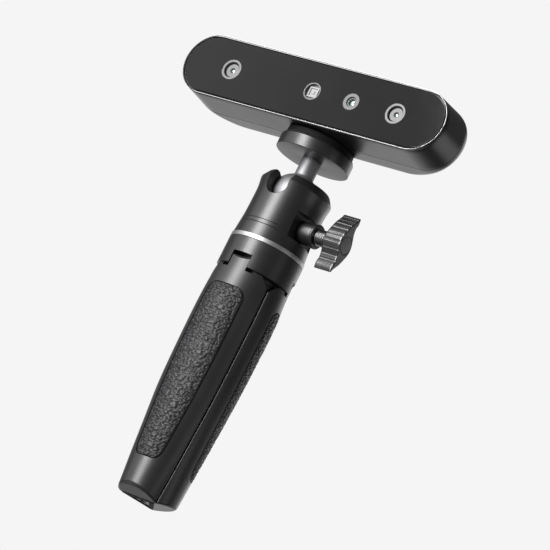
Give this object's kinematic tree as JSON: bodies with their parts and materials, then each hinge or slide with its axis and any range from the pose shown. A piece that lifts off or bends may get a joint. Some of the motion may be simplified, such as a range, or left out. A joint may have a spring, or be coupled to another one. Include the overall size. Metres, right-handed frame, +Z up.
{
  "type": "handheld 3d scanner",
  "caption": "Bar-shaped stereo scanner head with glossy front window and lenses, on a pocket ball-head tripod whose folded legs form the grip.",
  "frame": {"origin": "on the axis of the folded tripod, in the plane of its folded feet", "axes": "+Z up the tripod axis, scanner window faces -Y, +X along the scanner bar towards the clamp knob"},
  "size_m": [0.1548, 0.0406, 0.2254],
  "materials": {
    "satin_black_metal": "satin black anodised, fine bead-blast grain",
    "satin_black_knob": "satin black casting, slightly worn edges",
    "leg_plastic": "satin moulded, soft sheen",
    "housing_black": "satin dark graphite shell",
    "window_black": "smooth dark window, near black",
    "bright_rim": "diamond-cut bright edge",
    "polished_metal": "polished, light blur",
    "grip_leather": "grained dark leather",
    "black_rubber": "matt",
    "lens_ring_gray": "printed gray ring",
    "lens_ring_dark": "dark gray ring",
    "barrel_gray": "light gray moulding",
    "lens_glass": "coated, greenish",
    "emitter_ceramic": "ceramic and gold die",
    "circuit_board": "solder mask",
    "chip_black": "moulded packages",
    "bare_aluminium": "milled",
    "steel": "bright turned",
    "acetal_white": "natural acetal",
    "dark_casting": "black oxide",
    "insert_brass": "turned",
    "light_pipe": "frosted clear",
    "button_black": "satin button"
  },
  "bodies": {
    "hub": {"silver_ring": "polished_metal", "leg_collar": "satin_black_metal", "hub_core": "dark_casting", "pan_bolt": "steel", "hinge_pins": "steel"},
    "leg_front": {"leg_front": "leg_plastic", "grip_inlay_front": "grip_leather", "foot_pad_front": "black_rubber"},
    "leg_right": {"leg_right": "leg_plastic", "grip_inlay_right": "grip_leather", "foot_pad_right": "black_rubber"},
    "leg_rear": {"leg_rear": "leg_plastic", "grip_inlay_rear": "grip_leather", "foot_pad_rear": "black_rubber"},
    "ball_head": {"ball_head_body": "satin_black_metal", "ball_seat": "acetal_white", "thrust_block": "acetal_white", "seat_spring": "steel", "clamp_bushing": "satin_black_metal"},
    "clamp_knob": {"clamp_washer": "steel", "clamp_screw": "steel", "lock_knob": "satin_black_knob", "knob_cap": "satin_black_knob"},
    "ball": {"ball_stud": "polished_metal"},
    "head": {"bench_screws": "steel", "board_chips": "chip_black", "button_spring": "steel", "button_switch": "chip_black", "camera_barrel_left": "barrel_gray", "camera_barrel_right": "barrel_gray", "camera_lens_left": "lens_glass", "camera_lens_right": "lens_glass", "camera_ring_left": "lens_ring_gray", "camera_ring_right": "lens_ring_gray", "color_barrel": "lens_ring_dark", "color_lens": "lens_glass", "color_ring": "lens_ring_dark", "front_bezel": "bright_rim", "front_housing": "housing_black", "front_window": "window_black", "heat_sink": "bare_aluminium", "housing_screws": "steel", "main_board": "circuit_board", "optical_bench": "bare_aluminium", "plate_pad": "black_rubber", "projector_emitter": "emitter_ceramic", "projector_package": "emitter_ceramic", "projector_shroud": "lens_ring_gray", "rear_cover": "housing_black", "seam_gasket": "black_rubber", "sensor_boards": "circuit_board", "status_light_pipe": "light_pipe", "top_plate": "satin_black_metal", "tripod_insert": "insert_brass", "usb_port": "steel"},
    "button": {"scan_button": "button_black"}
  },
  "joints": [
    {"name": "leg_front_fold", "type": "hinge", "parent": "hub", "child": "leg_front", "pos_m": [0.00112, -0.01596, 0.1201], "axis": [-0.9976, -0.0698, 0], "range_deg": [0, 45]},
    {"name": "leg_right_fold", "type": "hinge", "parent": "hub", "child": "leg_right", "pos_m": [0.01327, 0.00895, 0.1201], "axis": [0.5592, -0.829, 0], "range_deg": [0, 45]},
    {"name": "leg_rear_fold", "type": "hinge", "parent": "hub", "child": "leg_rear", "pos_m": [-0.01438, 0.00701, 0.1201], "axis": [0.4384, 0.8988, 0], "range_deg": [0, 45]},
    {"name": "pan_base", "type": "hinge", "parent": "hub", "child": "ball_head", "pos_m": [0, 0, 0.1341], "axis": [0, 0, 1], "continuous": true},
    {"name": "clamp_knob_turn", "type": "hinge", "parent": "ball_head", "child": "clamp_knob", "pos_m": [0.03, 0, 0.1469], "axis": [1, 0, 0], "range_deg": [0, 540]},
    {"name": "ball_tilt", "type": "hinge", "parent": "ball_head", "child": "ball", "pos_m": [0, 0, 0.1618], "axis": [1, 0, 0], "range_deg": [-30, 90]},
    {"name": "head_spin", "type": "hinge", "parent": "ball", "child": "head", "pos_m": [0, 0, 0.1851], "axis": [0, 0, 1], "continuous": true},
    {"name": "scan_button_press", "type": "slide", "parent": "head", "child": "button", "axis": [0, -1, 0], "range_m": [0, 0.0004], "stiffness_N_per_m": 700, "springref_m": -0.0006}
  ]
}
